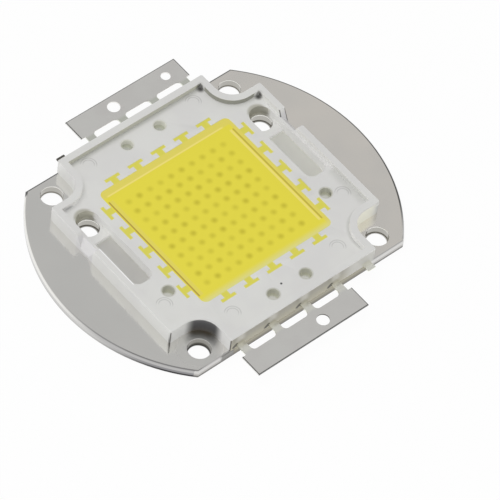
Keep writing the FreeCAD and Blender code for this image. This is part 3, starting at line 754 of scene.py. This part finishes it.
def makeCasting(settings):
    material, tree, shader = newMaterial("phosphorCasting")
    place, x, y = objectPlace(tree)[:3]
    grain, patches = addGrain(tree, place, *settings["grain"])

    # the chips, each spot of its own strength
    chips = settings["chips"]
    steps, cells, offsets = [], [], []
    for axis in (x, y):
        moved = mathNode(tree, "ADD", axis, chips["start"] - chips["shift"])
        cell = mathNode(tree, "MODULO", moved, chips["pitch"])
        steps.append(mathNode(tree, "SUBTRACT", cell, chips["pitch"] / 2))
        cells.append(mathNode(tree, "FLOOR", mathNode(tree, "DIVIDE", moved, chips["pitch"])))
        offset = mathNode(tree, "SUBTRACT", axis, chips["shift"])
        offsets.append(mathNode(tree, "ABSOLUTE", offset))
    spot = falling(tree, distanceFrom(tree, *steps, 0.0, 0.0), 0.0, chips["radius"])
    for offset in offsets:
        spot = product(tree, spot, mathNode(tree, "LESS_THAN", offset, chips["reach"]))
    chance = addNode(tree, "ShaderNodeTexWhiteNoise", noise_dimensions="2D")
    pair = addNode(tree, "ShaderNodeCombineXYZ")
    tree.links.new(cells[0], pair.inputs[0])
    tree.links.new(cells[1], pair.inputs[1])
    tree.links.new(pair.outputs[0], chance.inputs["Vector"])
    strength = rangeNode(tree, chance.outputs["Value"], 0.0, 1.0, *chips["strength"])
    base = paintOver(tree, settings["deep"], chips["colour"], spot, strength)

    # bands near the window's four sides: the bars and walls seen through the casting
    base = paintOver(tree, base, settings["pale"], rising(tree, y, *settings["farBand"]))
    far = settings["farLine"]
    farLine = product(tree, bandMask(tree, y, *far["y"]), bandMask(tree, x, *far["x"]))
    base = paintOver(tree, base, settings["light"], farLine, far["coat"])
    base = paintOver(tree, base, settings["pale"], rising(tree, x, *settings["rightBand"]))
    rightRun = bandMask(tree, y, *settings["rightRun"])
    light = settings["rightLight"]
    rightLight = bandMask(tree, x, *light["x"])
    base = paintOver(tree, base, settings["light"], rightLight, rightRun, light["coat"])
    dark = settings["rightDark"]
    base = paintOver(tree, base, dark["colour"], bandMask(tree, x, *dark["x"]), rightRun)
    leftRun = bandMask(tree, y, *settings["leftRun"])
    pale = settings["leftPale"]
    leftPale = bandMask(tree, x, *pale["x"])
    base = paintOver(tree, base, settings["pale"], leftPale, leftRun, pale["coat"])
    dark = settings["leftDark"]
    base = paintOver(tree, base, dark["colour"], bandMask(tree, x, *dark["x"]), leftRun)
    fade = settings["nearFade"]
    base = paintOver(tree, base, fade["colour"], falling(tree, y, *fade["y"], fade["coat"]))

    # the T slots' fillings, thin and paler, with soft sides
    slots = settings["slots"]
    sideX = mathNode(tree, "ABSOLUTE", x)
    sideY = mathNode(tree, "ABSOLUTE", y)
    outward = mathNode(tree, "MAXIMUM", sideX, sideY)
    across = mathNode(tree, "MINIMUM", sideX, sideY)
    pitch = slots["pitch"]
    turned = mathNode(tree, "MODULO", mathNode(tree, "ADD", across, pitch * 2.5), pitch)
    offset = mathNode(tree, "ABSOLUTE", mathNode(tree, "SUBTRACT", turned, pitch / 2))
    toEnd = mathNode(tree, "SUBTRACT", slots["end"], outward)
    stem = mathNode(tree, "SUBTRACT", slots["stem"], offset)
    stem = mathNode(tree, "MINIMUM", stem, toEnd)
    head = mathNode(tree, "SUBTRACT", slots["head"], offset)
    head = mathNode(tree, "MINIMUM", head, toEnd)
    fromHead = mathNode(tree, "SUBTRACT", outward, slots["headStart"])
    head = mathNode(tree, "MINIMUM", head, fromHead)
    inside = mathNode(tree, "MAXIMUM", stem, head)
    filling = mixColour(tree, rising(tree, inside, *slots["soft"]), slots["edge"], slots["core"])
    base = paintOver(tree, base, filling, rising(tree, outward, *slots["start"]))
    tree.links.new(base, shader.inputs["Base Color"])
    rough = rangeNode(tree, patches, *noiseSpan, *settings["polish"])
    tree.links.new(rough, shader.inputs["Roughness"])
    addBump(tree, shader, grain, *settings["bump"])
    return material


# chips and wires, buried in the casting
chipFinish = {
    "name": "chipFace", "grain": (0.1, 1.0), "rough": 0.15, "metallic": 0.0,
    "colours": (fromPaint(120, 132, 150), fromPaint(150, 158, 170)),
}
wireFinish = {
    "name": "bondGold", "grain": (0.1, 1.0), "rough": 0.2, "metallic": 1.0,
    "colours": (fromPaint(225, 190, 110), fromPaint(240, 206, 130)),
}


def makePlainFinish(settings):
    material, tree, shader = newMaterial(settings["name"])
    grain = addGrain(tree, objectPlace(tree)[0], *settings["grain"])[0]
    base = mixColour(tree, rising(tree, grain, *noiseSpan), *settings["colours"])
    tree.links.new(base, shader.inputs["Base Color"])
    shader.inputs["Roughness"].default_value = settings["rough"]
    shader.inputs["Metallic"].default_value = settings["metallic"]
    return material


plateMetal = makePlateMetal(plateFinish)
framePlastic = makeFramePlastic(plasticFinish)
leadMetal = makeLeadMetal(leadFinish)
phosphorCasting = makeCasting(gelFinish)
chipFace = makePlainFinish(chipFinish)
bondGold = makePlainFinish(wireFinish)
print("materials made")


# what the pieces made from CAD nodes share: distances in millimetres, angles in degrees
pieceSettings = {
    "joinWithin": 0.0005,
    "flatWithin": 0.5,
    "smoothUnder": 40.0,
    "tallOver": 0.02,
    "cutWithin": 0.001,
    "levelWithin": 0.01,
}
levelWithin = pieceSettings["levelWithin"]


def mergedCopy(node):
    # a CAD node's shape as one joined mesh, with its flat areas whole again
    made = bmesh.new()
    made.from_mesh(nodes[node].data)
    bmesh.ops.remove_doubles(made, verts=made.verts, dist=pieceSettings["joinWithin"] * mm)
    flatAngle = math.radians(pieceSettings["flatWithin"])
    bmesh.ops.dissolve_limit(made, angle_limit=flatAngle, verts=made.verts, edges=made.edges)
    bmesh.ops.recalc_face_normals(made, faces=made.faces)
    return made


def finishPiece(made, name, node, material):
    mesh = bpy.data.meshes.new(name)
    made.to_mesh(mesh)
    made.free()
    item = bpy.data.objects.new(name, mesh)
    scene.collection.objects.link(item)
    for polygon in mesh.polygons:
        polygon.use_smooth = True
    mesh.set_sharp_from_angle(angle=math.radians(pieceSettings["smoothUnder"]))
    even = item.modifiers.new("evenNormals", "WEIGHTED_NORMAL")
    even.keep_sharp = True
    mesh.materials.append(material)
    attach(item, "root")
    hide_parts(node)
    print(name, "has", len(mesh.polygons), "faces")


def foldedEdges(made, keep, fold=40.0):
    # the edges folded by more than the given degrees that pass the test, which is told each
    # edge's middle in millimetres and whether it climbs
    found = []
    for edge in made.edges:
        if len(edge.link_faces) == 2 and math.degrees(edge.calc_face_angle(0.0)) > fold:
            first, second = (vert.co for vert in edge.verts)
            tall = abs(first.z - second.z) > pieceSettings["tallOver"] * mm
            if keep((first + second) * (0.5 / mm), tall):
                found.append(edge)
    return found


def bevelEdges(made, edges, width, segments):
    bmesh.ops.bevel(
        made, geom=edges, offset=width * mm, offset_type="OFFSET", segments=segments,
        profile=0.5, affect="EDGES", clamp_overlap=True, material=-1,
    )


# base plate: rolled over along its upper edge, sheared square below; a round is its width and
# its number of faces
plateShape = {
    "top": 1.5,
    "holeRound": (0.08, 2),
    "roll": (0.12, 3),
    "rollWithin": 0.3,
    "holeFold": 25.0,
    "rollFold": 20.0,
    "holesWithin": (19.3, 26.6),
    "edgeBeyond": (19.6, 27.4),
}


def makePlate(settings):
    made = mergedCopy("base_plate")
    top = settings["top"]
    holeY, holeReach = settings["holesWithin"]
    edgeY, edgeReach = settings["edgeBeyond"]

    def onHole(middle, tall):
        inner = abs(middle.y) < holeY and middle.xy.length < holeReach
        return not tall and middle.z > top - levelWithin and inner
    bevelEdges(made, foldedEdges(made, onHole, settings["holeFold"]), *settings["holeRound"])

    def onRoll(middle, tall):
        outer = abs(middle.y) > edgeY or middle.xy.length > edgeReach
        return not tall and middle.z > top - settings["rollWithin"] and outer
    bevelEdges(made, foldedEdges(made, onRoll, settings["rollFold"]), *settings["roll"])
    finishPiece(made, "basePlate", "base_plate", plateMetal)


makePlate(plateShape)


# housing: rounded over along its rim, softer at every edge than the solid
housingShape = {
    "top": 4.3,
    "floor": 3.3,
    "cornerRound": (0.18, 3),
    "outerRound": (0.6, 5),
    "innerRound": (0.16, 3),
    "pinRound": (0.14, 3),
    "pinReach": 1.0,
    "cornerAbove": 2.6,
    "wallX": 19.82,
    "wallY": 19.92,
    "notchStart": 13.6,
    "notchSide": 13.85,
    "notchCentre": 16.95,
    "notchRadius": 3.2,
    "notchWithin": 0.1,
    "rimBeyond": 18.7,
    "cutsX": (-13.4, 13.4),
    "cutsY": (-13.4, 3.4, 8.3, 13.4),
}


def onOuterWall(middle, settings):
    x, y = abs(middle.x), abs(middle.y)
    start, centre = settings["notchStart"], settings["notchCentre"]
    if x > settings["wallX"] or y > settings["wallY"]:
        return True
    if x < start or y < start:
        return False
    if x > centre and y > centre:
        return False
    if y >= centre:
        return x < settings["notchSide"]
    if x >= centre:
        return y < settings["notchSide"]
    fromArc = abs(math.hypot(x - centre, y - centre) - settings["notchRadius"])
    return fromArc < settings["notchWithin"]


def cutAcross(made, normal, places, beyond):
    # extra edges across the rim's long faces, so that their shading stays even
    within = pieceSettings["cutWithin"] * mm
    for place in places:
        parts = set()
        for face in made.faces:
            middle = face.calc_center_median() / mm
            if abs(middle.x) > beyond or abs(middle.y) > beyond:
                parts.update([face], face.edges, face.verts)
        everything = made.verts[:] + made.edges[:] + made.faces[:]
        ordered = [part for part in everything if part in parts]
        bmesh.ops.bisect_plane(
            made, geom=ordered, dist=within, plane_co=normal * place * mm, plane_no=normal,
        )


def makeHousing(settings):
    made = mergedCopy("housing")
    top = settings["top"]

    def outerCorner(middle, tall):
        return tall and middle.z > settings["cornerAbove"] and onOuterWall(middle, settings)
    bevelEdges(made, foldedEdges(made, outerCorner), *settings["cornerRound"])

    def outerTop(middle, tall):
        outer = abs(middle.x) > settings["wallX"]
        return not tall and middle.z > top - levelWithin and outer
    bevelEdges(made, foldedEdges(made, outerTop), *settings["outerRound"])

    def innerTop(middle, tall):
        return not tall and middle.z > top - levelWithin
    bevelEdges(made, foldedEdges(made, innerTop), *settings["innerRound"])

    def pinTop(middle, tall):
        onFloor = not tall and abs(middle.z - settings["floor"]) < levelWithin
        return onFloor and any(
            math.hypot(middle.x - pinX, middle.y - pinY) < settings["pinReach"]
            for pinX, pinY in plasticFinish["pins"]
        )
    bevelEdges(made, foldedEdges(made, pinTop), *settings["pinRound"])

    # rounding leaves a few points a hair above the solid's top
    for vert in made.verts:
        vert.co.z = min(vert.co.z, top * mm)
    cutAcross(made, Vector((1, 0, 0)), settings["cutsX"], settings["rimBeyond"])
    cutAcross(made, Vector((0, 1, 0)), settings["cutsY"], settings["rimBeyond"])
    finishPiece(made, "frameMoulding", "housing", framePlastic)


makeHousing(housingShape)


# leads: stamped sheet, its edges slightly rolled outside the housing
leadShape = {"edgeRound": (0.05, 2), "outsideBeyond": 20.05}


def makeLead(node, name, settings):
    made = mergedCopy(node)

    def outside(middle, tall):
        return not tall and abs(middle.y) > settings["outsideBeyond"]
    bevelEdges(made, foldedEdges(made, outside), *settings["edgeRound"])
    finishPiece(made, name, node, leadMetal)


makeLead("lead_negative", "leadNegative", leadShape)
makeLead("lead_positive", "leadPositive", leadShape)


# the casting, chips and wires keep their CAD meshes
def dress(item, material):
    item.data.materials.clear()
    item.data.materials.append(material)


for nodeName in nodes:
    if nodeName.startswith("die_row"):
        dress(nodes[nodeName], chipFace)
    elif nodeName.startswith("bond_wires"):
        dress(nodes[nodeName], bondGold)
dress(nodes["phosphor_gel"], phosphorCasting)
print("pieces made and dressed")


# floor: white paper to the camera; a hole's X, Y, shade radius and shade stand for the dark
# that gathers under a plate hole
floorSettings = {
    "size": 3.0,
    "drop": 0.02,
    "glow": 0.95,
    "rough": 0.9,
    "colour": (0.85, 0.85, 0.85, 1.0),
    "holes": (
        (17.0, 17.0, 1.66, 0.62), (-17.0, 17.0, 1.66, 0.62), (17.0, -17.0, 1.58, 0.5),
        (-17.0, -17.0, 1.63, 0.12), (16.55, 9.1, 1.56, 0.45), (-16.55, 9.1, 1.56, 0.4),
    ),
    "shadeTint": (1.0, 0.97, 0.88),
    "shadeSoft": 0.08,
    "shadeEnd": (1.95, 2.05),
    "shadeGlow": 0.04,
}


def makeFloor(settings):
    flat = bmesh.new()
    bmesh.ops.create_grid(flat, x_segments=1, y_segments=1, size=settings["size"])
    mesh = bpy.data.meshes.new("paperFloor")
    flat.to_mesh(mesh)
    flat.free()
    floor = bpy.data.objects.new("paperFloor", mesh)
    floor.location.z = -settings["drop"] * mm
    scene.collection.objects.link(floor)
    material, tree, shader = newMaterial("paperWhite")
    x, y = objectPlace(tree)[1:3]
    shader.inputs["Roughness"].default_value = settings["rough"]
    glow = addNode(tree, "ShaderNodeEmission")
    glow.inputs["Color"].default_value = (1.0, 1.0, 1.0, 1.0)
    glow.inputs["Strength"].default_value = 1.0
    path = addNode(tree, "ShaderNodeLightPath")
    seen = mathNode(tree, "MAXIMUM", path.outputs["Is Camera Ray"], path.outputs["Is Glossy Ray"])
    seen = mathNode(tree, "MAXIMUM", seen, path.outputs["Is Transmission Ray"])
    share = mathNode(tree, "MULTIPLY", seen, settings["glow"])
    paper = settings["colour"]
    soft = settings["shadeSoft"]
    dark = 0.0
    for holeX, holeY, inner, shade in settings["holes"]:
        fromHole = distanceFrom(tree, x, y, holeX, holeY)
        ring = product(
            tree,
            rising(tree, fromHole, inner - soft, inner + soft),
            falling(tree, fromHole, *settings["shadeEnd"]),
        )
        dark = mathNode(tree, "MAXIMUM", dark, ring)
        tint = tuple(shade * part for part in settings["shadeTint"])
        paper = paintOver(tree, paper, tint + (1.0,), ring)
    share = product(tree, share, rangeNode(tree, dark, 0.0, 1.0, 1.0, settings["shadeGlow"]))
    tree.links.new(paper, shader.inputs["Base Color"])
    mixer = addNode(tree, "ShaderNodeMixShader")
    tree.links.new(share, mixer.inputs[0])
    tree.links.new(shader.outputs[0], mixer.inputs[1])
    tree.links.new(glow.outputs[0], mixer.inputs[2])
    output = next(n for n in tree.nodes if n.type == "OUTPUT_MATERIAL")
    tree.links.new(mixer.outputs[0], output.inputs["Surface"])
    mesh.materials.append(material)


# world: white behind the object, and for the metal to mirror a ceiling that greys upwards
worldSettings = {"light": 0.48, "ceiling": 0.53, "ceilingRise": (0.15, 0.6)}


def makeWorld(settings):
    world = bpy.data.worlds.new("studioWorld")
    scene.world = world
    world.use_nodes = True
    tree = world.node_tree
    background = next(n for n in tree.nodes if n.type == "BACKGROUND")
    coordinates = addNode(tree, "ShaderNodeTexCoord")
    parts = addNode(tree, "ShaderNodeSeparateXYZ")
    tree.links.new(coordinates.outputs["Generated"], parts.inputs[0])
    rise = settings["ceilingRise"]
    mirrored = rangeNode(tree, parts.outputs["Z"], *rise, 1.0, settings["ceiling"])
    path = addNode(tree, "ShaderNodeLightPath")
    strength = mixValue(tree, path.outputs["Is Glossy Ray"], settings["light"], mirrored)
    direct = mathNode(
        tree, "MAXIMUM", path.outputs["Is Camera Ray"], path.outputs["Is Transmission Ray"],
    )
    strength = mixValue(tree, direct, strength, 1.0)
    background.inputs["Color"].default_value = (1.0, 1.0, 1.0, 1.0)
    tree.links.new(strength, background.inputs["Strength"])


# lamps: a soft top box, and two fills without a shadow; places and sizes in metres
lampSettings = (
    {"name": "topBox", "place": (-0.15, 0.2, 0.75), "size": 0.7, "power": 2.5, "shadow": True},
    {"name": "leftFill", "place": (-0.6, 0.1, 0.14), "size": 0.3, "power": 1.7, "shadow": False},
    {"name": "rightFill", "place": (0.2, -0.58, 0.14), "size": 0.3, "power": 1.4, "shadow": False},
)


def makeLamp(settings):
    lamp = bpy.data.lights.new(settings["name"], "AREA")
    lamp.shape = "SQUARE"
    lamp.size = settings["size"]
    lamp.energy = settings["power"]
    lamp.use_shadow = settings["shadow"]
    box = bpy.data.objects.new(settings["name"], lamp)
    box.location = settings["place"]
    box.rotation_mode = "QUATERNION"
    box.rotation_quaternion = Vector(settings["place"]).to_track_quat("Z", "Y")
    box.visible_glossy = False
    scene.collection.objects.link(box)


makeFloor(floorSettings)
makeWorld(worldSettings)
for lampChoice in lampSettings:
    makeLamp(lampChoice)
print("stage made")
